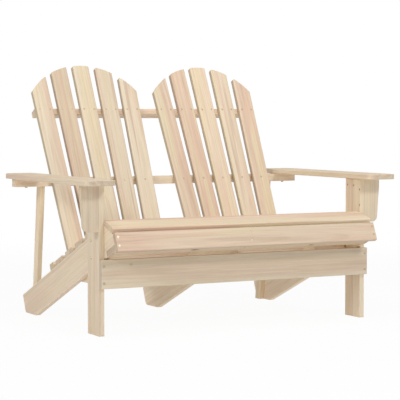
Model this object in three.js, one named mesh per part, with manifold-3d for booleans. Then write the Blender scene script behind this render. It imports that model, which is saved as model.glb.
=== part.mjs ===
// A two-seat adirondack bench in planed fir: sloping stringers carry a slatted seat, two fan-shaped
// back panels lean on three rails, and flat armrests lie on the front legs and the arm rail.
// Millimetres, +X to the right, +Y to the rear, +Z up. The origin is on the floor, under the middle.

import * as THREE from "three";
import { mergeVertices } from "three/addons/utils/BufferGeometryUtils.js";
import Module from "manifold-3d";

// Whole bench
const benchWidth = 1100; // over the outer faces of the front legs
const benchHeight = 964.5; // from the floor to the crown of the back
const boardThickness = 19; // all planed boards
const slatWidth = 70; // seat, nose and back slats
const battenDepth = 37; // wide side of the rails and posts
const joint = 0.3; // clearance between two pieces that bear on each other
const overrun = 5; // how far a cut runs past the wood

// Front legs, measured along Y from their front edges
const legWidth = 100;
const armUnderside = 527; // from the floor, and so the height of the legs

// Sloping stringers: the seat frame starts where their lower edges pass the legs' front edges
const seatTilt = 22.9; // degrees, down to the rear
const stringerRise = 269.9; // height of the lower edge at the legs' front edges
const stringerWidth = 111.4;
const soleLength = 103; // level cut that stands on the floor, up to the square rear end
const stringerHeelRadius = 20;

// Apron across the front, under the stringers, and the two cleats behind its ends
const apronHeight = 101;
const apronDrop = 2; // top of the apron below the stringers' lower edges
const cleatLength = 262;
const cleatDrop = 6; // top of the cleats below the top of the apron

// Seat slats, counted from the back and spaced evenly between the back and the nose
const seatSlatCount = 5;
const backGap = 2.5; // between the last seat slat and the back
const slatEdge = 3; // radius of the eased long edges

// Nose: three boards wrap the front end of the stringers
const noseReach = 99.6; // from the legs' front edges to the stringers' front faces, along the slope
const noseAngle = 42.1; // degrees, from the seat to the sloping nose board
const noseMargin = 6.5; // bare wood of the stringer on each side of the sloping nose board
const noseGap = 1; // between the front seat slat and the top of the slope
const noseEdge = 4.5; // radius of the rounded long edges
const noseFrontRise = 1.9; // top edge of the front board over the end of the slope
const noseUnderRise = 0; // lowest board's face above the stringers' lower edges
const noseUnderGap = 2.7;

// Back: two panels of slats that fan out towards an arched top
const backLean = 26.6; // degrees from upright
const backSetback = 329.7; // where the slats' front faces would meet the floor
const panelShift = 2.2; // of each panel's middle towards the middle of the bench, from an even split
const panelClearance = 30; // least room between a panel and the middle of the bench
const fanFootGap = 13.5; // between slats at their feet
const fanAngle = 0.91; // degrees between neighbouring slats
const archRise = 114; // from the outer corners of a panel to its crown
const archSteps = 6; // straight facets along the top of one slat
const slatCornerRadius = 4;

// Rails
const seatRailHeight = 24; // across the stringers, behind the slats' feet
const upperRailHeight = 24;
const upperRailDrop = 193.8; // below the crown, along the back
const armRailHeight = 31;
const armRailInset = 19; // inside the armrests' outer edges

// Rear posts, inside the stringers, under the arm rail
const postLean = 6.45; // degrees, foot to the rear
const postInset = 16; // behind the front face of the arm rail

// Armrests
const armWidth = 119.5;
const armInset = 13; // inner edge inside the legs' inner faces
const armOverhang = 86; // in front of the legs
const armTail = 43.4; // behind the arm rail
const armFrontRadius = 26;
const armRearOuterRadius = 35;
const armRearInnerRadius = 20;
const armEdge = 2.5;

// Brackets under the arms, flush with the legs' front edges
const bracketTop = 66.5;
const bracketFoot = 57;
const bracketHeight = 163;
const bracketUpright = 28; // straight stretch under the arm
const bracketRadius = 21;
const armCleatHeight = 44;

// Carriage bolts and their nuts
const boltRadius = 3;
const boltHeadRadius = 6;
const boltHeadHeight = 2.8;
const boltCrownShare = 0.75; // of the head's radius and height, where its dome begins
const boltClearance = 0.5;
const boltTail = 2.5; // thread beyond the nut
const nutRadius = 5.8;
const nutThickness = 5;
const legBoltSetback = 70; // from the legs' front edges
const legBoltRise = 2; // lower bolt above the apron
const legBoltSpacing = 60;

// Coach screws, up through the arm rail into the armrests
const coachRadius = 2.5;
const coachHeadRadius = 5.5; // to the corners of the hexagon
const coachHeadHeight = 4;
const coachBite = 14; // thread in the armrest
const coachPoint = 3;
const coachInset = 50; // from the armrests' inner edges

// Countersunk wood screws
const screwLength = 42;
const screwRadius = 2.2;
const screwHeadRadius = 4.4;
const screwHeadDepth = 3;
const screwPoint = 5;
const screwSink = 0.4; // head below the wood
const apronScrewInset = 10; // from the ends of the apron
const apronScrewLowerInset = 19; // from its lower edge
const apronScrewUpperInset = 22; // from its upper edge
const noseScrewInset = 17; // from the top edge of the front nose board

const roundSides = 16; // facets round a bolt, a screw or a hole
const cornerFacets = 6; // round a sawn corner
const edgeFacets = 4; // round an eased edge
const hexSides = 6;
const filletShare = 0.48; // the most of an edge that a rounded corner takes

// Places that follow from the sizes above
const halfBench = benchWidth / 2;
const legInner = halfBench - boardThickness;
const stringerOuter = legInner - joint;
const stringerCentre = stringerOuter - boardThickness / 2;
const cleatCentre = stringerCentre - boardThickness - joint;
const seatSpan = 2 * stringerOuter;
const tilt = THREE.MathUtils.degToRad(seatTilt);
const lean = THREE.MathUtils.degToRad(backLean);
const fan = THREE.MathUtils.degToRad(fanAngle);
const apronTop = stringerRise - apronDrop;
const apronBottom = apronTop - apronHeight;
const armBearing = armUnderside - joint;
const armRailBottom = armBearing - armRailHeight;
const armInner = legInner - armInset;
const armOuter = armInner + armWidth;
const footPitch = slatWidth + fanFootGap;
const panelCentre = stringerOuter / 2 - panelShift;

const fir = new THREE.MeshStandardMaterial({ name: "fir", color: 0xdcbd92, roughness: 0.72, metalness: 0 });
const steel = new THREE.MeshStandardMaterial({
  name: "steel",
  color: 0x6e675c,
  roughness: 0.45,
  metalness: 0.9,
});

const axisX = new THREE.Vector3(1, 0, 0);
const axisY = new THREE.Vector3(0, 1, 0);
const axisZ = new THREE.Vector3(0, 0, 1);

const bench = new THREE.Group();
const seatFrame = new THREE.Group();
seatFrame.position.z = stringerRise;
seatFrame.rotation.x = -tilt;
const backFrame = new THREE.Group();
backFrame.position.y = backSetback;
backFrame.rotation.x = -lean;
bench.add(seatFrame, backFrame);

// Solids joined and cut as closed bodies
const wasm = await Module();
wasm.setup();

function solidOf(geometry) {
  const bare = geometry.clone();
  bare.deleteAttribute("normal");
  bare.deleteAttribute("uv");
  const merged = mergeVertices(bare);
  const mesh = new wasm.Mesh({
    numProp: 3,
    vertProperties: merged.attributes.position.array,
    triVerts: Uint32Array.from(merged.index.array),
  });
  return new wasm.Manifold(mesh);
}

function geometryOf(solid) {
  const { vertProperties, triVerts } = solid.getMesh();
  const geometry = new THREE.BufferGeometry();
  geometry.setAttribute("position", new THREE.BufferAttribute(vertProperties, 3));
  geometry.setIndex(new THREE.BufferAttribute(triVerts, 1));
  const flat = geometry.toNonIndexed();
  flat.computeVertexNormals();
  return flat;
}

function join(first, second) {
  return geometryOf(solidOf(first).add(solidOf(second)));
}

function cut(geometry, cutters) {
  return geometryOf(cutters.reduce((solid, cutter) => solid.subtract(solidOf(cutter)), solidOf(geometry)));
}

function cornerAt([across, up]) {
  return new THREE.Vector2(across, up);
}

// An outline with rounded corners. Each corner is [across, up, radius], once round.
function roundedOutline(corners, facets = cornerFacets) {
  const points = corners.flatMap(([across, up, radius = 0], index) => {
    const corner = new THREE.Vector2(across, up);
    if (radius === 0) return [corner];
    const before = cornerAt(corners.at(index - 1)).sub(corner);
    const after = cornerAt(corners[(index + 1) % corners.length]).sub(corner);
    const room = filletShare * Math.min(before.length(), after.length());
    const half = Math.abs(before.angleTo(after)) / 2;
    const reach = Math.min(radius / Math.tan(half), room);
    const fillet = reach * Math.tan(half);
    const inwards = before.normalize().clone().add(after.normalize()).normalize();
    const centre = inwards.multiplyScalar(fillet / Math.sin(half)).add(corner);
    const start = before.multiplyScalar(reach).add(corner).sub(centre);
    const end = after.multiplyScalar(reach).add(corner).sub(centre);
    const clockwise = start.cross(end) < 0;
    const turn = [start.angle(), end.angle(), clockwise];
    const arc = new THREE.EllipseCurve(centre.x, centre.y, fillet, fillet, ...turn);
    return arc.getPoints(facets);
  });
  return new THREE.Shape(points);
}

// Extrudes an outline drawn across (y, z) along X, centred on x = 0
function alongX(shape, length) {
  const geometry = new THREE.ExtrudeGeometry(shape, { depth: length, bevelEnabled: false });
  geometry.translate(0, 0, -length / 2);
  return geometry.applyMatrix4(new THREE.Matrix4().makeBasis(axisY, axisZ, axisX));
}

// Extrudes an outline drawn across (x, z) towards +Y, from y = 0
function alongY(shape, depth) {
  const geometry = new THREE.ExtrudeGeometry(shape, { depth, bevelEnabled: false });
  geometry.applyMatrix4(new THREE.Matrix4().makeBasis(axisX, axisZ, axisY.clone().negate()));
  return geometry.translate(0, depth, 0);
}

// A rectangular board from one corner to the opposite one
function board([x0, x1], [y0, y1], [z0, z1]) {
  const geometry = new THREE.BoxGeometry(x1 - x0, y1 - y0, z1 - z0);
  return geometry.translate((x0 + x1) / 2, (y0 + y1) / 2, (z0 + z1) / 2);
}

// The same range on the left or the right side of the bench, measured outwards from the middle
function outwards(side, inner, outer) {
  return side < 0 ? [-outer, -inner] : [inner, outer];
}

// A slat across the bench, with its long edges eased, from its front lower edge
function crossSlat(edgeRadius) {
  const section = [
    [0, 0, edgeRadius],
    [slatWidth, 0, edgeRadius],
    [slatWidth, boardThickness, edgeRadius],
    [0, boardThickness, edgeRadius],
  ];
  return alongX(roundedOutline(section, edgeFacets), seatSpan);
}

function place(parent, name, geometry, material, position = new THREE.Vector3()) {
  const mesh = new THREE.Mesh(geometry, material);
  mesh.name = name;
  mesh.position.copy(position);
  parent.add(mesh);
  return mesh;
}

const sides = [
  { name: "left", sign: -1 },
  { name: "right", sign: 1 },
];

// Turned profiles of the fasteners, head up, with the underside of the head at z = 0
function turned(profile) {
  const points = profile.map(([radius, height]) => new THREE.Vector2(radius, height));
  return new THREE.LatheGeometry(points, roundSides).rotateX(Math.PI / 2);
}

function boltGeometry(grip) {
  return turned([
    [0, -grip - nutThickness - boltTail],
    [boltRadius, -grip - nutThickness - boltTail],
    [boltRadius, 0],
    [boltHeadRadius, 0],
    [boltCrownShare * boltHeadRadius, boltCrownShare * boltHeadHeight],
    [0, boltHeadHeight],
  ]);
}

function boltHole(grip) {
  const radius = boltRadius + boltClearance;
  return new THREE.CylinderGeometry(radius, radius, grip + 2 * overrun, roundSides).rotateX(Math.PI / 2);
}

function hexagon(radius) {
  return Array.from({ length: hexSides }, (_, corner) => {
    const angle = (corner / hexSides) * 2 * Math.PI;
    return [radius * Math.cos(angle), radius * Math.sin(angle)];
  });
}

function nutGeometry() {
  const shape = roundedOutline(hexagon(nutRadius));
  shape.holes.push(new THREE.Path().absarc(0, 0, boltRadius + joint, 0, 2 * Math.PI, true));
  return new THREE.ExtrudeGeometry(shape, {
    depth: nutThickness,
    bevelEnabled: false,
    curveSegments: roundSides / 2,
  });
}

// Shank of a coach screw, widened by a margin to make its hole, from under its head
function coachShank(margin, below) {
  const length = armRailHeight + 2 * joint + coachBite + margin;
  return turned([
    [0, -length],
    [coachRadius + margin, coachPoint - length],
    [coachRadius + margin, below],
    [0, below],
  ]);
}

function coachScrew() {
  const head = new THREE.ExtrudeGeometry(roundedOutline(hexagon(coachHeadRadius)), {
    depth: coachHeadHeight,
    bevelEnabled: false,
  });
  return join(head, coachShank(0, coachHeadHeight / 2));
}

// Screw profile, widened by a margin to make its hole. The top of the head is at z = 0.
function screwProfile(margin, above) {
  return turned([
    [0, -screwLength - margin],
    [screwRadius + margin, screwPoint - screwLength - margin],
    [screwRadius + margin, -screwHeadDepth - margin],
    [screwHeadRadius + margin, -margin],
    [screwHeadRadius + margin, above],
    [0, above],
  ]);
}

// Places of the fasteners: each has a name, a point on the wood and the direction that its head faces
function legBolts(side) {
  return ["lower", "upper"].map((row, index) => ({
    name: `${side.name}_${row}`,
    point: new THREE.Vector3(
      side.sign * halfBench,
      legBoltSetback,
      apronTop + legBoltRise + index * legBoltSpacing,
    ),
    facing: axisX.clone().multiplyScalar(side.sign),
  }));
}

function armScrew(side) {
  return {
    name: side.name,
    point: new THREE.Vector3(
      side.sign * (armInner + coachInset),
      armRailFront() + battenDepth / 2,
      armRailBottom - joint,
    ),
    facing: axisZ.clone().negate(),
  };
}

function apronScrews(side) {
  const heights = { lower: apronBottom + apronScrewLowerInset, upper: apronTop - apronScrewUpperInset };
  return Object.entries(heights).map(([row, height]) => ({
    name: `${side.name}_${row}`,
    point: new THREE.Vector3(side.sign * (halfBench - apronScrewInset), -boardThickness - joint, height),
    facing: axisY.clone().negate(),
  }));
}

function noseScrews(centre, name) {
  const heights = { upper: noseFrontTop() - noseScrewInset, lower: noseUnderRise + boardThickness / 2 };
  return Object.entries(heights).map(([row, height]) => ({
    name: `${name}_${row}`,
    point: new THREE.Vector3(centre, -noseReach - joint - boardThickness, height),
    facing: axisY.clone().negate(),
  }));
}

function facingTurn(facing) {
  return new THREE.Quaternion().setFromUnitVectors(axisZ, facing);
}

// A cutter set in place in the frame of its board
function setIn(cutter, { point, facing }, sink = 0) {
  cutter.applyQuaternion(facingTurn(facing));
  const seat = point.clone().addScaledVector(facing, -sink);
  return cutter.translate(seat.x, seat.y, seat.z);
}

function boltCuts(bolts, grip) {
  return bolts.map((bolt) => setIn(boltHole(grip), bolt, grip / 2));
}

function coachCuts(screws) {
  return screws.map((screw) => setIn(coachShank(joint, overrun), screw));
}

function screwCuts(screws) {
  return screws.map((screw) => setIn(screwProfile(joint, overrun), screw, screwSink));
}

function fasten(parent, name, geometry, { point, facing }, sink) {
  const mesh = place(parent, name, geometry, steel, point.clone().addScaledVector(facing, -sink));
  mesh.quaternion.copy(facingTurn(facing));
}

// Where the plane at this depth behind the slats' front faces crosses a line over the stringers
function backOverSeat(depth, height) {
  const crossing = lean - tilt;
  const ahead = backSetback + depth * Math.cos(lean);
  const below = -depth * Math.sin(lean) - stringerRise;
  const rise = height - ahead * Math.sin(tilt) - below * Math.cos(tilt);
  const alongBack = rise / Math.cos(crossing);
  const alongSeat = ahead * Math.cos(tilt) - below * Math.sin(tilt) + alongBack * Math.sin(crossing);
  return { alongBack, alongSeat };
}

// Y of the slats' rear faces at a height over the floor
function slatRearAt(height) {
  const along = (height + boardThickness * Math.sin(lean)) / Math.cos(lean);
  return backSetback + boardThickness * Math.cos(lean) + along * Math.sin(lean);
}

function armRailFront() {
  return slatRearAt(armBearing) + joint;
}

// Front end of the stringers: a slope for the upper nose board, then a face square to the seat
function noseSlope() {
  const angle = THREE.MathUtils.degToRad(noseAngle);
  const length = slatWidth + 2 * noseMargin;
  const run = length * Math.cos(angle);
  return { angle, run, drop: length * Math.sin(angle), crest: run - noseReach };
}

// Front edges of the seat slats along the slope, from the back to the nose
function seatSlatFronts() {
  const last = backOverSeat(0, stringerWidth).alongSeat - backGap - slatWidth;
  const first = noseSlope().crest + noseGap;
  const pitch = (last - first) / (seatSlatCount - 1);
  return Array.from({ length: seatSlatCount }, (_, index) => last - index * pitch);
}

function noseFrontTop() {
  return stringerWidth - noseSlope().drop + noseFrontRise;
}

// The side of a stringer, in the seat frame: y down the slope to the rear, z square to it
function stringerOutline() {
  const { crest, drop } = noseSlope();
  const step = noseUnderRise + boardThickness + joint;
  const stepEnd = slatWidth + noseUnderGap - noseReach;
  const soleFront = stringerRise / Math.sin(tilt);
  const rear = soleFront + soleLength * Math.cos(tilt);
  return roundedOutline([
    [stepEnd, 0],
    [soleFront, 0],
    [rear, soleLength * Math.sin(tilt), stringerHeelRadius],
    [rear, stringerWidth],
    [crest, stringerWidth],
    [-noseReach, stringerWidth - drop],
    [-noseReach, step],
    [stepEnd, step],
  ]);
}

function addStringers() {
  const outer = sides.map((side) => ({
    name: side.name,
    centre: side.sign * stringerCentre,
    bolts: legBolts(side),
  }));
  [...outer, { name: "middle", centre: 0, bolts: [] }].forEach(({ name, centre, bolts }) => {
    const screws = noseScrews(0, name);
    const boltHoles = boltCuts(bolts, 2 * boardThickness + joint).map((hole) =>
      hole.translate(-centre, 0, -stringerRise).rotateX(tilt),
    );
    const wood = cut(alongX(stringerOutline(), boardThickness), [...screwCuts(screws), ...boltHoles]);
    place(seatFrame, `stringer_${name}`, wood, fir, new THREE.Vector3(centre, 0, 0));
  });
}

function addSeatSlats() {
  seatSlatFronts().forEach((front, index) => {
    const seat = new THREE.Vector3(0, front, stringerWidth + joint);
    place(seatFrame, `seat_slat_${index + 1}`, crossSlat(slatEdge), fir, seat);
  });
}

function addNose() {
  const { angle, run, drop } = noseSlope();

  // Upper board, centred on the slope
  const foot = new THREE.Vector3(0, -noseReach, stringerWidth - drop);
  const upSlope = new THREE.Vector3(0, run, drop).normalize();
  const outOfSlope = new THREE.Vector3(0, -drop, run).normalize();
  const seat = foot.addScaledVector(upSlope, noseMargin).addScaledVector(outOfSlope, joint);
  const top = place(seatFrame, "seat_nose_top", crossSlat(noseEdge), fir, seat);
  top.rotation.x = angle;

  // Front board, on edge
  const centres = { left: -stringerCentre, middle: 0, right: stringerCentre };
  const screws = Object.entries(centres).flatMap(([name, centre]) => noseScrews(centre, name));
  const front = crossSlat(noseEdge).rotateX(-Math.PI / 2);
  front.translate(0, -noseReach - joint - boardThickness, noseFrontTop());
  place(seatFrame, "seat_nose_front", cut(front, screwCuts(screws)), fir);
  screws.forEach((screw) => {
    fasten(seatFrame, `nose_screw_${screw.name}`, screwProfile(0, 0), screw, screwSink);
  });

  // Lowest board, let into the stringers behind the front board, which is screwed to its edge
  const under = crossSlat(noseEdge).translate(0, -noseReach, noseUnderRise);
  place(seatFrame, "seat_nose_under", cut(under, screwCuts(screws)), fir);
}

function addApron() {
  const length = [-halfBench, halfBench];
  const screws = sides.flatMap(apronScrews);
  const wood = board(length, [-boardThickness - joint, -joint], [apronBottom, apronTop]);
  place(bench, "apron", cut(wood, screwCuts(screws)), fir);
  screws.forEach((screw) => {
    fasten(bench, `apron_screw_${screw.name}`, screwProfile(0, 0), screw, screwSink);
  });
  sides.forEach(({ name, sign }) => {
    const across = [-boardThickness / 2, boardThickness / 2];
    const cleat = board(across, [0, cleatLength], [apronBottom, apronTop - cleatDrop]);
    place(bench, `apron_cleat_${name}`, cleat, fir, new THREE.Vector3(sign * cleatCentre, 0, 0));
  });
}

function addLegs() {
  const grip = 2 * boardThickness + joint;
  sides.forEach((side) => {
    const wood = board(outwards(side.sign, legInner, halfBench), [0, legWidth], [0, armBearing]);
    const holes = [...boltCuts(legBolts(side), grip), ...screwCuts(apronScrews(side))];
    place(bench, `front_leg_${side.name}`, cut(wood, holes), fir);
    legBolts(side).forEach((bolt) => {
      fasten(bench, `leg_bolt_${bolt.name}`, boltGeometry(grip + joint), bolt, -joint);
      fasten(bench, `leg_nut_${bolt.name}`, nutGeometry(), bolt, grip + joint + nutThickness);
    });
  });
}

// Lines of the back, measured along it from where it meets the floor
function backLines() {
  const depths = [0, boardThickness];
  const feet = depths.map((depth) => backOverSeat(depth, stringerWidth + joint).alongBack);
  const crown = benchHeight / Math.cos(lean);
  return { foot: Math.max(...feet), crown, railCentre: crown - upperRailDrop };
}

// Middle of a slat of the fan at a height, from the middle of its panel
function fanCentre(slat, height) {
  return slat * footPitch + (height - backLines().foot) * Math.tan(slat * fan);
}

function fanHalfWidth(slat) {
  return slatWidth / 2 / Math.cos(slat * fan);
}

// Slats on each side of a panel's middle slat: as many as the width of the bench has room for
function slatsEachSide() {
  const widest = fanCentre(1, backLines().crown - archRise);
  return Math.floor((panelCentre - panelClearance - fanHalfWidth(1)) / widest);
}

// One back slat in the frame of its panel: x across, z up the back
function backSlatOutline(index) {
  const { foot, crown } = backLines();
  const last = slatsEachSide();
  const archHalf = fanCentre(last, crown - archRise) + fanHalfWidth(last);
  const archRadius = (archHalf ** 2 + archRise ** 2) / (2 * archRise);
  const archCentre = crown - archRadius;

  // Where a side of the slat meets the arch
  const meetArch = (edge) => {
    const slope = Math.tan(index * fan);
    const start = fanCentre(index, foot) + edge * fanHalfWidth(index);
    const fall = foot - archCentre;
    const a = 1 + slope ** 2;
    const b = slope * start + fall;
    const c = start ** 2 + fall ** 2 - archRadius ** 2;
    const up = (Math.sqrt(b ** 2 - a * c) - b) / a;
    return new THREE.Vector2(start + slope * up, foot + up - archCentre);
  };
  const right = meetArch(1).angle();
  const left = meetArch(-1).angle();
  const arch = Array.from({ length: archSteps + 1 }, (_, step) => {
    const angle = right + ((left - right) * step) / archSteps;
    const radius = step === 0 || step === archSteps ? slatCornerRadius : 0;
    return [archRadius * Math.cos(angle), archCentre + archRadius * Math.sin(angle), radius];
  });
  const feet = [-1, 1].map((edge) => [fanCentre(index, foot) + edge * fanHalfWidth(index), foot]);
  return roundedOutline([...feet, ...arch], edgeFacets);
}

function addBackSlats() {
  const last = slatsEachSide();
  sides.forEach(({ name, sign }) => {
    for (let index = -last; index <= last; index += 1) {
      const geometry = alongY(backSlatOutline(index), boardThickness);
      const centre = new THREE.Vector3(sign * panelCentre, 0, 0);
      place(backFrame, `back_slat_${name}_${index + last + 1}`, geometry, fir, centre);
    }
  });
}

function addRails() {
  // Lowest rail, on the stringers behind the slats' feet
  const seatRailHeights = [stringerWidth + joint, stringerWidth + joint + seatRailHeight];
  const slatRears = seatRailHeights.map((height) => backOverSeat(boardThickness, height).alongSeat);
  const seatRailFront = Math.max(...slatRears) + joint;
  const seatRail = board(
    [-stringerOuter, stringerOuter],
    [seatRailFront, seatRailFront + battenDepth],
    seatRailHeights,
  );
  place(seatFrame, "back_bottom_rail", seatRail, fir);

  // Highest rail, behind the slats, as long as the two panels are wide there
  const { railCentre } = backLines();
  const last = slatsEachSide();
  const upperRailEnd = panelCentre + fanCentre(last, railCentre) + fanHalfWidth(last);
  const upperRail = board(
    [-upperRailEnd, upperRailEnd],
    [boardThickness + joint, boardThickness + joint + battenDepth],
    [railCentre - upperRailHeight / 2, railCentre + upperRailHeight / 2],
  );
  place(backFrame, "upper_back_rail", upperRail, fir);

  // Arm rail, level, under the tails of the armrests
  const front = armRailFront();
  const armRail = board(
    [armRailInset - armOuter, armOuter - armRailInset],
    [front, front + battenDepth],
    [armRailBottom, armBearing],
  );
  place(bench, "arm_rail", cut(armRail, coachCuts(sides.map(armScrew))), fir);
}

function addRearPosts() {
  const top = armRailBottom - joint;
  const front = armRailFront() + postInset;
  const width = battenDepth / Math.cos(THREE.MathUtils.degToRad(postLean));
  const shift = top * Math.tan(THREE.MathUtils.degToRad(postLean));
  const outline = roundedOutline([
    [front + shift, 0],
    [front + shift + width, 0],
    [front + width, top],
    [front, top],
  ]);
  sides.forEach(({ name, sign }) => {
    const geometry = alongX(outline, boardThickness);
    place(bench, `rear_post_${name}`, geometry, fir, new THREE.Vector3(sign * cleatCentre, 0, 0));
  });
}

function addArmrests() {
  const rear = armRailFront() + battenDepth + armTail;
  sides.forEach((side) => {
    const outline = roundedOutline([
      [side.sign * armInner, -armOverhang, armFrontRadius],
      [side.sign * armOuter, -armOverhang, armFrontRadius],
      [side.sign * armOuter, rear, armRearOuterRadius],
      [side.sign * armInner, rear, armRearInnerRadius],
    ]);
    const geometry = new THREE.ExtrudeGeometry(outline, {
      depth: boardThickness - 2 * armEdge,
      bevelThickness: armEdge,
      bevelSize: armEdge,
      bevelOffset: -armEdge,
      bevelSegments: 2,
    });
    geometry.translate(0, 0, armUnderside + armEdge);
    const screw = armScrew(side);
    place(bench, `armrest_${side.name}`, cut(geometry, coachCuts([screw])), fir);
    fasten(bench, `arm_screw_${side.name}`, coachScrew(), screw, 0);
  });
}

function addArmSupports() {
  const bottom = armBearing - bracketHeight;
  const face = halfBench + joint;
  sides.forEach(({ name, sign }) => {
    const outline = roundedOutline([
      [sign * face, bottom],
      [sign * (face + bracketFoot), bottom, bracketRadius],
      [sign * (face + bracketTop), armBearing - bracketUpright],
      [sign * (face + bracketTop), armBearing],
      [sign * face, armBearing],
    ]);
    place(bench, `arm_bracket_${name}`, alongY(outline, boardThickness), fir);
    const cleat = board(
      outwards(sign, face, face + boardThickness),
      [boardThickness + joint, legWidth],
      [armBearing - armCleatHeight, armBearing],
    );
    place(bench, `arm_cleat_${name}`, cleat, fir);
  });
}

addLegs();
addStringers();
addApron();
addSeatSlats();
addNose();
addBackSlats();
addRails();
addRearPosts();
addArmSupports();
addArmrests();

// Centres the bench over the origin
const footprint = new THREE.Box3().setFromObject(bench, true);
bench.position.y = -(footprint.min.y + footprint.max.y) / 2;

export default bench;
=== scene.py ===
"""The look of the adirondack loveseat: fir boards, the small screws in them, a white studio and the camera.

Metres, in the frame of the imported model: +X to the right, +Y to the rear, +Z up.
"""
import math
import random

import bmesh
import bpy
from mathutils import Matrix, Vector


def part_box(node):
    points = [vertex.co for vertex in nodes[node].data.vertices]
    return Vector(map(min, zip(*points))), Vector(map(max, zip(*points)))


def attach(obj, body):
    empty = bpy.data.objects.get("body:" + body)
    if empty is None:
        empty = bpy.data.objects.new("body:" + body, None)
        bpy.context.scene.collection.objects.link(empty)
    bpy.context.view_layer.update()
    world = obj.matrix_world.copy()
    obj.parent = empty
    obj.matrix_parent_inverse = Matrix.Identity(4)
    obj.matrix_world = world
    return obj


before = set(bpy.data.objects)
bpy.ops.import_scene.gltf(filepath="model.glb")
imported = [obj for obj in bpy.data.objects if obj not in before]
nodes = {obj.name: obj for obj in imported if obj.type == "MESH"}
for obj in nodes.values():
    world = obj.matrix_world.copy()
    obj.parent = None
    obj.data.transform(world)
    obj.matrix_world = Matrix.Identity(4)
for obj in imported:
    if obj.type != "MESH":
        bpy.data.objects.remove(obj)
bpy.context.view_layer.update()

X, Y, Z = Vector((1, 0, 0)), Vector((0, 1, 0)), Vector((0, 0, 1))

# Driving dimensions of the bench, as in the solids
BOARD = 0.019
SEAT_TILT = math.radians(22.9)
BACK_LEAN = math.radians(26.6)
FAN_STEP = math.radians(0.91)
NOSE_ANGLE = math.radians(42.1)
POST_LEAN = math.radians(6.45)
STRINGER_RISE = 0.2699
BACK_SETBACK = 0.3297

LEG_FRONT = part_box("front_leg_left")[0].y
SEAT_FRAME = Matrix.Translation((0, LEG_FRONT, STRINGER_RISE)) @ Matrix.Rotation(-SEAT_TILT, 4, "X")
BACK_FRAME = Matrix.Translation((0, LEG_FRONT + BACK_SETBACK, 0)) @ Matrix.Rotation(-BACK_LEAN, 4, "X")
BACK_FACE = BACK_FRAME.to_3x3() @ -Y
BACK_UP = BACK_FRAME.to_3x3() @ Z

# Camera, measured from the middle of the legs' front edges
CAMERA_PLACE = Vector((-2.72247, -4.82789, 0.76840))
CAMERA_AZIMUTH = math.radians(-28.0016)
CAMERA_PITCH = math.radians(3.1748)
CAMERA_LENS = 138.0
SENSOR = 36.0

# Light
WORLD_BRIGHT = 0.36
WORLD_DIM = 0.20
BRIGHT_SIDE = (-0.45, -0.70, 0.55)
WORLD_BLEND = 0.6  # the world goes from dim to bright between minus this and this, along its bright side

# Lamps: name, place, the point that it looks at, size and power in watts
LAMPS = (
    ("overhead", (-0.4, -0.9, 3.4), (0, 0, 0.3), 1.8, 27),
    ("front", (1.0, -4.6, 3.2), (0, 0, 0.4), 0.8, 71),
    ("left", (-5.6, -2.1, 3.3), (0, 0, 0.4), 1.4, 110),
)

# Floor
FLOOR_HALF = 60.0
FLOOR_DROP = 0.0002  # below the soles
FLOOR_WHITE = 0.93
FLOOR_GLOW = 0.95  # how much of the floor's white, as the camera sees it, takes no shadow
FLOOR_BOUNCE = 0.43  # strength of that glow as light on the bench
SHADOW_NEAR, SHADOW_FAR = 1.6, 4.0  # the shadows fade out between these, and the floor is plain white beyond

# Colours, as sRGB
CREAM = (236, 220, 195)
YELLOW = (231, 214, 181)
PINK = (226, 196, 172)
TAN = (208, 184, 158)
LATEWOOD = (196, 166, 132)
KNOT = (128, 92, 66)
SCREW_ZINC = (184, 164, 138)
# painted light: a lighter copy of the zinc for the back slats' screws, offsetting the shade in their holes
SCREW_ZINC_PAINTED_LIT = (195, 176, 151)
# painted highlight: a lighter zinc for the nose's left screws, standing in for the glint they catch
SCREW_PAINTED_GLINT = (212, 200, 182)
BOLT_ZINC = (196, 180, 156)

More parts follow.
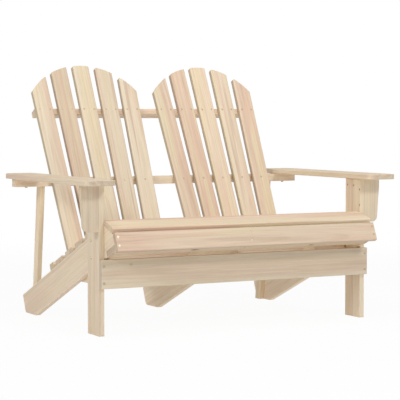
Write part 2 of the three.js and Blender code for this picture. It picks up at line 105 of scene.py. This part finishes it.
# Boards: warmth (cream at 0, pink at 1), value, and how much warmer the left, upper or rear edge is. The value
# is partly the board's own tone and partly painted light and shade. Boards that stand in shade, such as the
# inner stringers, the right leg, the seat slats and the arm rail, are painted lighter. The nose's under board
# is painted darker, as if shaded. The legs and armrests of the two sides are lit and shaded copies.
BOARD_TONE_AND_PAINTED_LIGHT = {
    "front_leg_left": (0.10, 0.98, 0.0),
    # painted light: the right leg is painted lighter than the left, for its shaded inner face
    "front_leg_right": (0.05, 1.05, 0.0),
    "stringer_left": (-0.05, 1.04, 0.0),
    # painted light: the middle and right stringers are painted lighter, for the shade under the seat
    "stringer_middle": (-0.20, 1.11, 0.0),
    "stringer_right": (-0.20, 1.18, 0.0),
    "rear_post": (0.10, 1.12, 0.0),
    "apron_cleat": (0.30, 1.00, 0.0),
    "apron": (-0.15, 0.90, 0.1),
    # painted light: the seat slats are painted lighter, for their shaded undersides
    "seat_slat": (0.50, 1.05, 0.0),
    "seat_nose_top": (0.85, 1.06, 0.2),
    "seat_nose_front": (1.00, 0.95, -0.1),
    # painted shade: the nose's under board is painted darker, as if shaded
    "seat_nose_under": (0.80, 0.88, 0.0),
    "back_slat_left_1": (0.70, 0.97, -0.7),
    "back_slat_left_2": (0.80, 0.91, 0.2),
    "back_slat_left_3": (0.35, 0.99, -0.3),
    "back_slat_left_4": (0.50, 0.96, 0.5),
    "back_slat_left_5": (0.35, 1.00, 0.2),
    "back_slat_right_1": (0.45, 1.00, -0.2),
    "back_slat_right_2": (0.60, 1.04, -0.3),
    "back_slat_right_3": (0.20, 1.09, 0.1),
    "back_slat_right_4": (0.40, 1.05, -0.2),
    "back_slat_right_5": (0.60, 1.05, -0.6),
    "upper_back_rail": (0.40, 1.13, 0.0),
    # painted light: the arm rail is painted lighter, as if its front face were lit
    "arm_rail": (0.50, 1.14, 0.0),
    "back_bottom_rail": (0.50, 1.00, 0.0),
    "arm_bracket_left": (0.00, 0.90, 0.0),
    "arm_bracket_right": (0.20, 0.98, 0.0),
    "arm_cleat": (0.30, 1.00, 0.0),
    # painted shade: the left armrest is painted darker than the right
    "armrest_left": (0.50, 0.97, 0.0),
    "armrest_right": (0.50, 1.01, 0.0),
}
# Painted shade and light on the narrow sides: the back slats' sides in their narrow gaps and the nose front
# board's underside are painted darker, as shade falls there, and the apron's top edge under the nose is
# painted lighter
NARROW_SIDE_PAINTED_LIGHT = {"back_slat": 0.74, "seat_nose_front": 0.84, "apron": 1.25}  # value of the narrow sides

# How strongly the bands and rings of a board show, where it isn't fully
FIGURE = {
    "front_leg": 0.55,
    "apron": 0.55,
    "stringer": 0.55,
    "arm_bracket": 0.55,
    "arm_rail": 0.3,
    "armrest": 0.7,
}

# Knots: place along the board and across it from its middle, radius, and how dark they are
KNOTS = {
    "seat_nose_under": ((-0.205, -0.003, 0.012, 1.0), (0.281, -0.012, 0.010, 0.70)),
    "apron": ((0.437, -0.030, 0.007, 0.28),),
}

# Edges
EASED = 0.0011  # how far all edges are rounded
ROUTED = 0.0055  # radius of the back slats' long front edges


def chosen(table, name, otherwise=None):
    """The entry of a table whose key the name begins with."""
    return next((table[key] for key in table if name.startswith(key)), otherwise)


def linear(colour):
    """Linear RGBA of an sRGB colour of three bytes."""
    parts = [c / 255 for c in colour]
    return [p / 12.92 if p <= 0.04045 else ((p + 0.055) / 1.055) ** 2.4 for p in parts] + [1.0]


# Material nodes


class Tree:
    """Short calls that add nodes to a node tree and link them."""

    def __init__(self, tree):
        self.tree = tree

    def add(self, kind, inputs=None, **values):
        node = self.tree.nodes.new(kind)
        for key, value in values.items():
            setattr(node, key, value)
        for key, value in (inputs or {}).items():
            if isinstance(value, bpy.types.NodeSocket):
                self.tree.links.new(value, node.inputs[key])
            else:
                node.inputs[key].default_value = value
        return node

    def math(self, operation, *values, clamp=False):
        node = self.add("ShaderNodeMath", dict(enumerate(values)), operation=operation, use_clamp=clamp)
        return node.outputs[0]

    def vector(self, operation, *values):
        node = self.add("ShaderNodeVectorMath", dict(enumerate(values)), operation=operation)
        return node.outputs["Value"] if operation in ("DOT_PRODUCT", "LENGTH") else node.outputs["Vector"]

    def remap(self, value, from_min, from_max, to_min=0.0, to_max=1.0, smooth=False):
        kind = "SMOOTHSTEP" if smooth else "LINEAR"
        places = {
            "Value": value,
            "From Min": from_min,
            "From Max": from_max,
            "To Min": to_min,
            "To Max": to_max,
        }
        return self.add("ShaderNodeMapRange", places, interpolation_type=kind).outputs["Result"]

    def noise(self, vector, scale, detail=2.0, roughness=0.5):
        places = {"Vector": vector, "Scale": scale, "Detail": detail, "Roughness": roughness}
        return self.add("ShaderNodeTexNoise", places).outputs["Fac"]

    def mix(self, share, first, second, blend="MIX"):
        node = self.tree.nodes.new("ShaderNodeMix")
        node.data_type = "RGBA"
        node.blend_type = blend
        for key, kind, value in (("Factor", "VALUE", share), ("A", "RGBA", first), ("B", "RGBA", second)):
            socket = next(s for s in node.inputs if s.name == key and s.type == kind)
            if isinstance(value, bpy.types.NodeSocket):
                self.tree.links.new(value, socket)
            else:
                socket.default_value = value
        return next(s for s in node.outputs if s.type == "RGBA")


def new_material(name):
    material = bpy.data.materials.new(name)
    material.use_nodes = True
    material.node_tree.nodes.clear()
    return material, Tree(material.node_tree)


# Fir

# Each scale is per metre across a board, through it and along its grain
WANDER_SCALE = (9.0, 9.0, 1.3)
WANDER_REACH = (0.030, 0.030, 0.0)  # metres
RINGS = 230.0  # per metre
LATE_START, LATE_FULL, LATE_END = 0.45, 0.9, 0.93  # where a year's darker line lies, as shares of the year
THIN_SCALE = (60.0, 60.0, 2.5)
THIN_LINE = 0.35  # what is left of a line where it thins out
BANDS = 42.0  # per metre across the rings
BAND_DRIFT = (7.0, 7.0, 0.8)
TINT_SCALE = (34.0, 34.0, 1.1)
WARM_RANGE = (0.41, 0.59)  # of the bands' noise, from cream to pink
YELLOW_RANGE = (0.48, 0.62)  # of the tint's noise
TAN_RANGE = (0.42, 0.32)  # of the tint's noise
YELLOW_SHARE, TAN_SHARE, LATE_SHARE = 0.85, 0.70, 0.24
FIBRE_SCALE = (900.0, 900.0, 16.0)
FLECK_SCALE = (700.0, 700.0, 45.0)
FLECK_RANGE = (0.70, 0.78)
STREAK_SCALE = (150.0, 150.0, 3.0)
FIBRE_VALUES = (0.94, 1.04)
STREAK_VALUES = (0.95, 1.04)
FLECK_VALUE = 0.86
END_VALUE = 0.83
FIBRE_ROUGHNESS = (0.56, 0.70)
END_ROUGHNESS = 0.15  # added on end grain
FIBRE_HEIGHT, LATE_HEIGHT = 0.00008, 0.00005  # metres


def fir_group():
    """Growth rings round a log axis along z, colour bands, fibres and flecks, in metres."""
    group = bpy.data.node_groups.new("fir_grain", "ShaderNodeTree")
    sockets = group.interface
    sockets.new_socket("Place", in_out="INPUT", socket_type="NodeSocketVector")
    for name in ("End", "Warmth", "Value", "Figure"):
        sockets.new_socket(name, in_out="INPUT", socket_type="NodeSocketFloat")
    sockets.new_socket("Color", in_out="OUTPUT", socket_type="NodeSocketColor")
    for name in ("Roughness", "Height"):
        sockets.new_socket(name, in_out="OUTPUT", socket_type="NodeSocketFloat")
    t = Tree(group)
    given = t.add("NodeGroupInput").outputs
    place = given["Place"]

    # The rings wander slowly along the board
    slow = t.vector("MULTIPLY", place, WANDER_SCALE)
    wander = t.add("ShaderNodeTexNoise", {"Vector": slow, "Scale": 1.0, "Detail": 1.5}).outputs["Color"]
    wander = t.vector("SUBTRACT", wander, (0.5, 0.5, 0.5))
    wander = t.vector("MULTIPLY", wander, WANDER_REACH)
    bent = t.vector("ADD", place, wander)
    across = t.vector("MULTIPLY", bent, (1.0, 1.0, 0.0))
    reach = t.vector("LENGTH", across)

    # Rings a few millimetres apart, with a darker line at the end of each year
    year = t.math("FRACT", t.math("MULTIPLY", reach, RINGS))
    rise = t.remap(year, LATE_START, LATE_FULL, smooth=True)
    late = t.math("MULTIPLY", rise, t.remap(year, LATE_END, 1.0, 1.0, 0.0))
    thin = t.noise(t.vector("MULTIPLY", place, THIN_SCALE), 1.0)
    late = t.math("MULTIPLY", late, t.remap(thin, 0.3, 0.7, THIN_LINE, 1.0))

    # Wide bands of warmer and paler wood that follow the rings
    bands = t.add("ShaderNodeCombineXYZ", {"X": t.math("MULTIPLY", reach, BANDS)}).outputs[0]
    bands = t.noise(t.vector("ADD", bands, t.vector("MULTIPLY", place, BAND_DRIFT)), 1.0, 2.0, 0.55)
    tint = t.noise(t.vector("MULTIPLY", place, TINT_SCALE), 1.0, 2.0, 0.5)
    warm = t.math("ADD", t.remap(bands, *WARM_RANGE), t.math("SUBTRACT", given["Warmth"], 0.5), clamp=True)
    colour = t.mix(warm, linear(CREAM), linear(PINK))
    yellow = t.remap(tint, *YELLOW_RANGE, 0.0, YELLOW_SHARE, smooth=True)
    brown = t.remap(tint, *TAN_RANGE, 0.0, TAN_SHARE, smooth=True)
    colour = t.mix(t.math("MULTIPLY", yellow, given["Figure"]), colour, linear(YELLOW))
    colour = t.mix(t.math("MULTIPLY", brown, given["Figure"]), colour, linear(TAN))
    lines = t.math("MULTIPLY", t.math("MULTIPLY", late, LATE_SHARE), given["Figure"])
    colour = t.mix(lines, colour, linear(LATEWOOD))

    # Fibres, short resin flecks, longer streaks, and darker end grain
    fibre = t.noise(t.vector("MULTIPLY", place, FIBRE_SCALE), 1.0, 3.0, 0.6)
    fleck = t.noise(t.vector("MULTIPLY", place, FLECK_SCALE), 1.0, 1.0)
    fleck = t.remap(fleck, *FLECK_RANGE, smooth=True)
    fleck = t.remap(fleck, 0.0, 1.0, 1.0, FLECK_VALUE)
    value = t.math("MULTIPLY", t.remap(fibre, 0.35, 0.65, *FIBRE_VALUES), fleck)
    streak = t.noise(t.vector("MULTIPLY", place, STREAK_SCALE), 1.0, 2.0, 0.6)
    value = t.math("MULTIPLY", value, t.remap(streak, 0.35, 0.65, *STREAK_VALUES))
    value = t.math("MULTIPLY", value, given["Value"])
    value = t.math("MULTIPLY", value, t.remap(given["End"], 0.0, 1.0, 1.0, END_VALUE))
    shade = t.add("ShaderNodeCombineColor", {"Red": value, "Green": value, "Blue": value}).outputs[0]
    colour = t.mix(1.0, colour, shade, "MULTIPLY")

    rough = t.remap(fibre, 0.3, 0.7, *FIBRE_ROUGHNESS)
    rough = t.math("ADD", rough, t.math("MULTIPLY", given["End"], END_ROUGHNESS))
    fibre_height = t.math("MULTIPLY", fibre, FIBRE_HEIGHT)
    height = t.math("ADD", fibre_height, t.math("MULTIPLY", late, LATE_HEIGHT))
    t.add("NodeGroupOutput", {"Color": colour, "Roughness": rough, "Height": height})
    return group


FIR = fir_group()
LOG_REACH = (0.03, 0.11)  # nearest and farthest log axis from the middle of a board
LOG_ANGLE = (50, 130)  # degrees from the board's width to the log axis, to either side
LOG_SHIFT = 40  # how far along the log a board may be cut, so that no two look alike
END_FACING = (0.6, 0.95)  # how squarely a face looks along the grain, from long grain to end grain
SIDE_FACING = (0.8, 0.97)  # the same across the board, from its wide side to its narrow ones
GLOSS = 0.3

# Knots
KNOT_STRETCH = 0.6  # width over length
KNOT_SCALE = (220.0, 220.0, 60.0)
KNOT_RAGGED = 0.35  # how far the rim wanders, as a share of the radius
KNOT_RANGE = (1.0, 0.2)  # from the rim to the dark middle, as shares of the radius


def board_frame(name, face, grain):
    """Rows across a board, through it and along its grain, and its box measured along them."""
    width = face.cross(grain).normalized()
    turn = Matrix((width, grain.cross(width), grain))
    local = [turn @ v.co for v in nodes[name].data.vertices]
    low = Vector([min(v[k] for v in local) for k in range(3)])
    high = Vector([max(v[k] for v in local) for k in range(3)])
    return turn, low, high


def fir_material(name, face, grain, seed):
    """Fir for one board: its grain runs along one direction, and its wide side faces another."""
    dice = random.Random(seed)
    material, t = new_material(f"fir_{name}")
    turn, low, high = board_frame(name, face, grain)
    angle = math.radians(dice.uniform(*LOG_ANGLE)) * dice.choice((-1, 1))
    reach = dice.uniform(*LOG_REACH)
    log = Vector((math.cos(angle) * reach, math.sin(angle) * reach, dice.uniform(0, LOG_SHIFT)))
    coordinates = t.add("ShaderNodeTexCoord").outputs
    mapping = t.add("ShaderNodeMapping", {"Vector": coordinates["Object"]})
    mapping.inputs["Location"].default_value = log - (low + high) / 2
    mapping.inputs["Rotation"].default_value = turn.to_euler()
    place = mapping.outputs[0]
    along_grain = t.math("ABSOLUTE", t.vector("DOT_PRODUCT", coordinates["Normal"], tuple(grain)))
    across_board = t.math("ABSOLUTE", t.vector("DOT_PRODUCT", coordinates["Normal"], tuple(turn[0])))
    warmth, value, lean = chosen(BOARD_TONE_AND_PAINTED_LIGHT, name)
    across = t.vector("DOT_PRODUCT", t.vector("SUBTRACT", place, tuple(log)), tuple(X))
    leaning = t.math("MULTIPLY", across, 2 * lean / (high.x - low.x))
    # the narrow sides take painted shade or painted light from the table of narrow sides
    painted_edge_value = value * chosen(NARROW_SIDE_PAINTED_LIGHT, name, 1.0)
    wood = t.add("ShaderNodeGroup", node_tree=FIR)
    given = {
        "Place": place,
        "End": t.remap(along_grain, *END_FACING),
        "Warmth": t.math("ADD", leaning, warmth),
        "Value": t.remap(t.remap(across_board, *SIDE_FACING), 0.0, 1.0, value, painted_edge_value),
    }
    for key, socket in given.items():
        t.tree.links.new(socket, wood.inputs[key])
    wood.inputs["Figure"].default_value = chosen(FIGURE, name, 1.0)
    colour = wood.outputs["Color"]
    for along, offset, radius, depth in chosen(KNOTS, name, ()):
        from_knot = t.vector("SUBTRACT", place, tuple(log + Vector((offset, 0, along))))
        from_knot = t.vector("MULTIPLY", from_knot, (1 / radius, 0.0, KNOT_STRETCH / radius))
        ragged = t.noise(t.vector("MULTIPLY", place, KNOT_SCALE), 1.0, 3.0)
        ragged = t.remap(ragged, 0.3, 0.7, -KNOT_RAGGED, KNOT_RAGGED)
        reach = t.math("ADD", t.vector("LENGTH", from_knot), ragged)
        colour = t.mix(t.remap(reach, *KNOT_RANGE, 0.0, depth, smooth=True), colour, linear(KNOT))
    bump = t.add("ShaderNodeBump", {"Height": wood.outputs["Height"], "Strength": 1.0, "Distance": 1.0})
    shader = t.add("ShaderNodeBsdfPrincipled", {
        "Base Color": colour,
        "Roughness": wood.outputs["Roughness"],
        "Normal": bump.outputs[0],
        "Specular IOR Level": GLOSS,
    })
    t.add("ShaderNodeOutputMaterial", {"Surface": shader.outputs[0]})
    return material


def slope(along, up):
    """A direction in the seat's side view, from its parts down the slope and square to it."""
    return (SEAT_FRAME.to_3x3() @ Vector((0, along, up))).normalized()


def fan_angle(name):
    """How far a back slat leans to the right. The third slat of each panel stands straight."""
    return FAN_STEP * (int(name[-1]) - 3)


def wood_directions(name):
    """The direction that the wide side of a board faces, and the direction of its grain."""
    if name.startswith("back_slat"):
        fan = fan_angle(name)
        return BACK_FACE, BACK_UP * math.cos(fan) + X * math.sin(fan)
    if name.startswith("rear_post"):
        return X, Vector((0, -math.sin(POST_LEAN), math.cos(POST_LEAN)))
    known = {
        "front_leg": (X, Z),
        "stringer": (X, slope(1, 0)),
        "apron_cleat": (X, Y),
        "apron": (-Y, Z.cross(Y)),
        "seat_slat": (slope(0, 1), X),
        "seat_nose_top": (slope(-math.sin(NOSE_ANGLE), math.cos(NOSE_ANGLE)), X),
        "seat_nose_front": (slope(-1, 0), X),
        "seat_nose_under": (slope(0, -1), X),
        "upper_back_rail": (BACK_FACE, X),
        "arm_rail": (Z, X),
        "back_bottom_rail": (slope(0, 1), X),
        "arm_bracket": (-Y, Z),
        "arm_cleat": (X, Y),
        "armrest": (Z, Y),
    }
    return chosen(known, name)


# Metal

MARKS = 900.0  # handling marks, per metre
PATCHES = 160.0  # duller and paler patches, per metre
PALER = 1.18  # how much brighter the paler patches are
MARK_HEIGHT = 0.0002


def metal_material(name, colour, roughness):
    """Plated steel with fine handling marks."""
    material, t = new_material(name)
    place = t.add("ShaderNodeTexCoord").outputs["Object"]
    marks = t.noise(place, MARKS, 4.0, 0.6)
    dull = t.noise(place, PATCHES, 2.0, 0.5)
    pale = [min(1.0, c * PALER) for c in linear(colour)[:3]] + [1.0]
    shade = t.mix(t.remap(dull, 0.35, 0.65), linear(colour), pale)
    bump = t.add("ShaderNodeBump", {"Height": marks, "Strength": 0.25, "Distance": MARK_HEIGHT})
    shader = t.add("ShaderNodeBsdfPrincipled", {
        "Base Color": shade,
        "Roughness": t.remap(marks, 0.3, 0.7, roughness - 0.07, roughness + 0.1),
        "Metallic": 1.0,
        "Normal": bump.outputs[0],
    })
    t.add("ShaderNodeOutputMaterial", {"Surface": shader.outputs[0]})
    return material


SCREW_METAL = metal_material("screw_zinc", SCREW_ZINC, roughness=0.36)
PAINTED_LIT_METAL = metal_material("screw_zinc_painted_lit", SCREW_ZINC_PAINTED_LIT, roughness=0.38)
PAINTED_GLINT_METAL = metal_material("screw_painted_glint", SCREW_PAINTED_GLINT, roughness=0.6)
BOLT_METAL = metal_material("bolt_zinc", BOLT_ZINC, roughness=0.4)


# Meshes

ROUND = 24  # corners of a circle


def ring(mesh, radius, height):
    """A circle of corners round the z axis."""
    corners = [2 * math.pi * k / ROUND for k in range(ROUND)]
    return [mesh.verts.new((radius * math.cos(a), radius * math.sin(a), height)) for a in corners]


def bridge(mesh, lower, upper):
    """Faces between two outlines with the same number of corners."""
    count = len(lower)
    for k in range(count):
        mesh.faces.new((lower[k], lower[(k + 1) % count], upper[(k + 1) % count], upper[k]))


def finished(name, mesh):
    """The built mesh, with its faces turned outward."""
    bmesh.ops.recalc_face_normals(mesh, faces=mesh.faces)
    data = bpy.data.meshes.new(name)
    mesh.to_mesh(data)
    mesh.free()
    return data


def new_object(name, data):
    made = bpy.data.objects.new(name, data)
    bpy.context.scene.collection.objects.link(made)
    return made


# Boards

WELD_REACH = 0.00002
EASE_SEGMENTS = 3
EASE_LIMIT = math.radians(35)  # edges flatter than this stay as they are
ROUT_STEPS = 6  # faces round a routed edge
ROUT_SPARE = 0.03  # the routing runs on past the board's ends
ROUT_GAP = 0.002  # and this far past its faces


def boards(kind):
    """The names of all boards of one kind, in order."""
    return [name for name in sorted(nodes) if name.startswith(kind)]


def set_material(piece, material):
    piece.data.materials.clear()
    piece.data.materials.append(material)


def ease_edges(piece):
    """Joins the faces' corners and rounds the sharp edges."""
    weld = piece.modifiers.new("weld", "WELD")
    weld.merge_threshold = WELD_REACH
    bevel = piece.modifiers.new("eased_edges", "BEVEL")
    bevel.width = EASED
    bevel.segments = EASE_SEGMENTS
    bevel.limit_method = "ANGLE"
    bevel.angle_limit = EASE_LIMIT


def cut_out(board, cutter, label):
    """Takes a hidden piece's shape out of a board."""
    cutter.hide_render = True
    cutter.hide_viewport = True
    cut = nodes[board].modifiers.new(label, "BOOLEAN")
    cut.object = cutter
    cut.operation = "DIFFERENCE"
    cut.solver = "EXACT"


def rout_edges(board, face, grain):
    """Rounds the two long front edges of a board, as a router does."""
    turn, low, high = board_frame(board, face, grain)
    out = 1 if turn[1].dot(face) > 0 else -1
    front = high.y if out > 0 else low.y
    # Each corner of the cutter's outline, as its place inward of the edge and inward of the front face
    arc = [math.radians(90 * k / ROUT_STEPS) for k in range(ROUT_STEPS + 1)]
    corners = [(ROUTED * (1 - math.cos(a)), ROUTED * (1 - math.sin(a))) for a in arc]
    corners += [(ROUTED, -ROUT_GAP), (-ROUT_GAP, -ROUT_GAP), (-ROUT_GAP, ROUTED)]
    mesh = bmesh.new()
    for side, edge in ((-1, low.x), (1, high.x)):
        outline = [(edge - side * inward, front - out * deep) for inward, deep in corners]
        ends = [[mesh.verts.new(turn.transposed() @ Vector((x, y, z))) for x, y in outline]
                for z in (low.z - ROUT_SPARE, high.z + ROUT_SPARE)]
        mesh.faces.new(ends[0])
        mesh.faces.new(list(reversed(ends[1])))
        bridge(mesh, *ends)
    name = f"rounding_{board}"
    cut_out(board, new_object(name, finished(name, mesh)), "rounded_edges")


def is_metal(name):
    return any(word in name for word in ("bolt", "nut", "screw"))


def metal_of(name):
    # the nose's left screws take the metal with the painted highlight
    if name.startswith("nose_screw_left"):
        return PAINTED_GLINT_METAL
    return BOLT_METAL if "bolt" in name or "nut" in name else SCREW_METAL


def dress_boards():
    for seed, name in enumerate(sorted(nodes)):
        piece = nodes[name]
        if is_metal(name):
            set_material(piece, metal_of(name))
            continue
        face, grain = wood_directions(name)
        set_material(piece, fir_material(name, face, grain, seed))
        ease_edges(piece)
        if name.startswith("back_slat"):
            rout_edges(name, face, grain)


# Small screws

SCREW_HEAD = 0.0042  # radius
SCREW_SHANK = 0.0020  # radius
HEAD_DEPTH = 0.0028
HEAD_RIM = 0.0003
SCREW_LENGTH = 3 * HEAD_DEPTH
SINK = 0.0005  # head below the wood
HOLE_MARGIN = 0.0003
HOLE_LENGTH = 4 * HEAD_DEPTH
HOLE_SPARE = 0.0005  # the cutter stands out of the wood
RECESS_REACH = 0.0024
RECESS_WIDTH = 0.0010
RECESS_DEPTH = 0.0017


def cross_outline(reach, width):
    """A plus sign, anticlockwise."""
    arm = [(reach, -width / 2), (reach, width / 2), (width / 2, width / 2)]
    turned = []
    for quarter in range(4):
        c, s = math.cos(quarter * math.pi / 2), math.sin(quarter * math.pi / 2)
        turned += [(x * c - y * s, x * s + y * c) for x, y in arm]
    return turned


def screw_mesh(name, material):
    """A countersunk head with a cross recess and a short shank. The top of the head is at z = 0."""
    mesh = bmesh.new()
    tip = ring(mesh, SCREW_SHANK, -SCREW_LENGTH)
    neck = ring(mesh, SCREW_SHANK, -HEAD_DEPTH)
    rim = ring(mesh, SCREW_HEAD, -HEAD_RIM)
    top = ring(mesh, SCREW_HEAD - HEAD_RIM, 0.0)
    mesh.faces.new(list(reversed(tip)))
    bridge(mesh, tip, neck)
    bridge(mesh, neck, rim)
    bridge(mesh, rim, top)
    mouth = [mesh.verts.new((x, y, 0.0)) for x, y in cross_outline(RECESS_REACH, RECESS_WIDTH)]
    inner = cross_outline(RECESS_REACH / 2, RECESS_WIDTH / 2)
    floor = [mesh.verts.new((x, y, -RECESS_DEPTH)) for x, y in inner]
    edges = [mesh.edges.get((top[k], top[(k + 1) % ROUND])) for k in range(ROUND)]
    edges += [mesh.edges.new((mouth[k], mouth[(k + 1) % len(mouth)])) for k in range(len(mouth))]
    bmesh.ops.triangle_fill(mesh, use_beauty=True, use_dissolve=False, edges=edges, normal=(0, 0, 1))
    bridge(mesh, floor, mouth)
    mesh.faces.new(floor)
    data = finished(name, mesh)
    data.materials.append(material)
    return data


def hole_cutter(name, places):
    """The countersunk holes of one board, as a hidden piece that is cut out of it."""
    mesh = bmesh.new()
    for place in places:
        deep = ring(mesh, SCREW_SHANK + HOLE_MARGIN, -HOLE_LENGTH)
        neck = ring(mesh, SCREW_SHANK + HOLE_MARGIN, -HEAD_DEPTH - SINK)
        rim = ring(mesh, SCREW_HEAD + HOLE_MARGIN, -SINK)
        mouth = ring(mesh, SCREW_HEAD + HOLE_MARGIN + SINK, HOLE_SPARE)
        mesh.faces.new(list(reversed(deep)))
        bridge(mesh, deep, neck)
        bridge(mesh, neck, rim)
        bridge(mesh, rim, mouth)
        mesh.faces.new(mouth)
        bmesh.ops.transform(mesh, matrix=place, verts=deep + neck + rim + mouth)
    return new_object(name, finished(name, mesh))


def head_place(point, facing, turn):
    """Where a screw sits: its head looks along facing, turned about it."""
    spin = Matrix.Rotation(turn, 4, "Z")
    return Matrix.Translation(point) @ Z.rotation_difference(facing).to_matrix().to_4x4() @ spin


SCREW = screw_mesh("screw", SCREW_METAL)
PAINTED_LIT_SCREW = screw_mesh("screw_painted_lit", PAINTED_LIT_METAL)


def drive_screws(board, points, facing, screw=SCREW):
    """Seats screws in one board, each in its own countersunk hole."""
    dice = random.Random(board + "screw")
    places = [head_place(point, facing, dice.uniform(0, math.pi / 2)) for point in points]
    cut_out(board, hole_cutter(f"holes_{board}_screw", places), "holes_screw")
    for index, place in enumerate(places, start=1):
        piece = new_object(f"screw_{board}_{index}", screw)
        piece.matrix_world = place @ Matrix.Translation((0, 0, -SINK))
        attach(piece, "root")


FOOT_REACH = 0.001  # corners this near the lowest one are a slat's foot
PAIR_SPREAD = 0.0215  # each screw of a pair from the middle of its slat
ARM_SCREW_RISE = 0.006  # above the middle of the arm rail
SEAT_ROWS = (-0.021, 0.021)  # from the middle of the board, across it
NOSE_ROWS = (0.010,)

# Screws in the legs: how far behind the front edge, and how high
LEG_SPOTS = ((0.0056, 0.487), (0.0053, 0.428), (0.047, 0.501), (0.088, 0.502))


def in_back_plane(name):
    """The corners of a board, measured in the plane of the back."""
    inverse = BACK_FRAME.inverted()
    return [inverse @ v.co for v in nodes[name].data.vertices]


def slat_point(name, height, offset=0.0):
    """A point on a back slat's front face, at a height up the back and an offset across the slat."""
    local = in_back_plane(name)
    foot = min(v.z for v in local)
    base = [v.x for v in local if v.z < foot + FOOT_REACH]
    centre = (min(base) + max(base)) / 2
    return BACK_FRAME @ Vector((centre + (height - foot) * math.tan(fan_angle(name)) + offset, 0, height))


def screw_back_slats():
    """A pair of screws at the upper rail, and one at the arm rail."""
    heights = [v.z for v in in_back_plane("upper_back_rail")]
    upper = (min(heights) + max(heights)) / 2
    low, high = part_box("arm_rail")
    arm = (low.z + high.z) / 2 / math.cos(BACK_LEAN)
    for name in boards("back_slat"):
        points = [slat_point(name, upper, side * PAIR_SPREAD) for side in (-1, 1)]
        points.append(slat_point(name, arm + ARM_SCREW_RISE))
        # the back slats' screws take the zinc with painted light
        drive_screws(name, points, BACK_FACE, PAINTED_LIT_SCREW)


def stringer_centres():
    """Where each stringer's middle is, from left to right."""
    return [sum(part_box(f"stringer_{side}")[k].x for k in (0, 1)) / 2 for side in ("left", "middle", "right")]


def screw_cross_board(name, outward, rows):
    """Screws where a board crosses the stringers, in rows measured from its middle, across its width."""
    low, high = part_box(name)
    surface = (low + high) / 2 + outward * BOARD / 2
    across = X.cross(outward)
    points = [Vector((x, surface.y, surface.z)) + across * row for x in stringer_centres() for row in rows]
    drive_screws(name, points, outward)


def screw_seat():
    for name in boards("seat_slat"):
        screw_cross_board(name, slope(0, 1), SEAT_ROWS)
    screw_cross_board("seat_nose_under", slope(0, -1), NOSE_ROWS)


def screw_legs():
    """Into the bracket and the cleat under each arm, from the legs' inner faces."""
    for side, sign in (("left", -1), ("right", 1)):
        low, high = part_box(f"front_leg_{side}")
        inner = high.x if sign < 0 else low.x
        points = [Vector((inner, LEG_FRONT + y, z)) for y, z in LEG_SPOTS]
        drive_screws(f"front_leg_{side}", points, -sign * X)


def dress_screws():
    screw_back_slats()
    screw_seat()
    screw_legs()


# Studio


def white_for_camera(t, lit):
    """1 for what the camera, a reflection or glass sees, and lit for light that falls on things."""
    path = t.add("ShaderNodeLightPath").outputs
    seen = t.math("ADD", path["Is Camera Ray"], path["Is Glossy Ray"], clamp=True)
    seen = t.math("ADD", seen, path["Is Transmission Ray"], clamp=True)
    return t.remap(seen, 0.0, 1.0, lit, 1.0)


def build_world():
    """Soft light from all round, brighter from the front and the left."""
    world = bpy.data.worlds.new("studio")
    world.use_nodes = True
    world.node_tree.nodes.clear()
    t = Tree(world.node_tree)
    direction = t.add("ShaderNodeTexCoord").outputs["Generated"]
    near = t.vector("DOT_PRODUCT", direction, BRIGHT_SIDE)
    lit = t.remap(near, -WORLD_BLEND, WORLD_BLEND, WORLD_DIM, WORLD_BRIGHT, smooth=True)
    glow = t.add("ShaderNodeBackground", {"Color": (1, 1, 1, 1), "Strength": white_for_camera(t, lit)})
    t.add("ShaderNodeOutputWorld", {"Surface": glow.outputs[0]})
    bpy.context.scene.world = world


def build_floor():
    """A matt white floor that keeps a part of the bench's shadow."""
    mesh = bpy.data.meshes.new("floor")
    corners = [(x * FLOOR_HALF, y * FLOOR_HALF, -FLOOR_DROP) for x, y in ((-1, -1), (1, -1), (1, 1), (-1, 1))]
    mesh.from_pydata(corners, [], [(0, 1, 2, 3)])
    floor = new_object("floor", mesh)
    material, t = new_material("floor_white")
    matt = t.add("ShaderNodeBsdfDiffuse", {"Color": (FLOOR_WHITE, FLOOR_WHITE, FLOOR_WHITE, 1)})
    glow = t.add("ShaderNodeEmission", {"Color": (1, 1, 1, 1), "Strength": 1.0})
    reach = t.vector("LENGTH", t.add("ShaderNodeTexCoord").outputs["Object"])
    glow_share = t.remap(reach, SHADOW_NEAR, SHADOW_FAR, FLOOR_GLOW, 1.0, smooth=True)
    share = t.math("MULTIPLY", white_for_camera(t, FLOOR_BOUNCE), glow_share)
    both = t.add("ShaderNodeMixShader", {0: share, 1: matt.outputs[0], 2: glow.outputs[0]})
    t.add("ShaderNodeOutputMaterial", {"Surface": both.outputs[0]})
    mesh.materials.append(material)


def add_lamp(name, place, target, size, power):
    light = bpy.data.lights.new(name, "AREA")
    light.shape = "SQUARE"
    light.size = size
    light.energy = power
    lamp = new_object(name, light)
    lamp.location = place
    lamp.rotation_euler = (Vector(target) - Vector(place)).to_track_quat("-Z", "Y").to_euler()


def build_lamps():
    for lamp in LAMPS:
        add_lamp(*lamp)


def build_camera():
    data = bpy.data.cameras.new("camera")
    data.lens = CAMERA_LENS
    data.sensor_width = SENSOR
    camera = new_object("camera", data)
    camera.location = CAMERA_PLACE + Vector((0, LEG_FRONT, 0))
    camera.rotation_euler = (math.pi / 2 - CAMERA_PITCH, 0, CAMERA_AZIMUTH)
    bpy.context.scene.camera = camera


bpy.context.scene.view_settings.view_transform = "Standard"
build_world()
build_floor()
build_lamps()
build_camera()
dress_boards()
dress_screws()
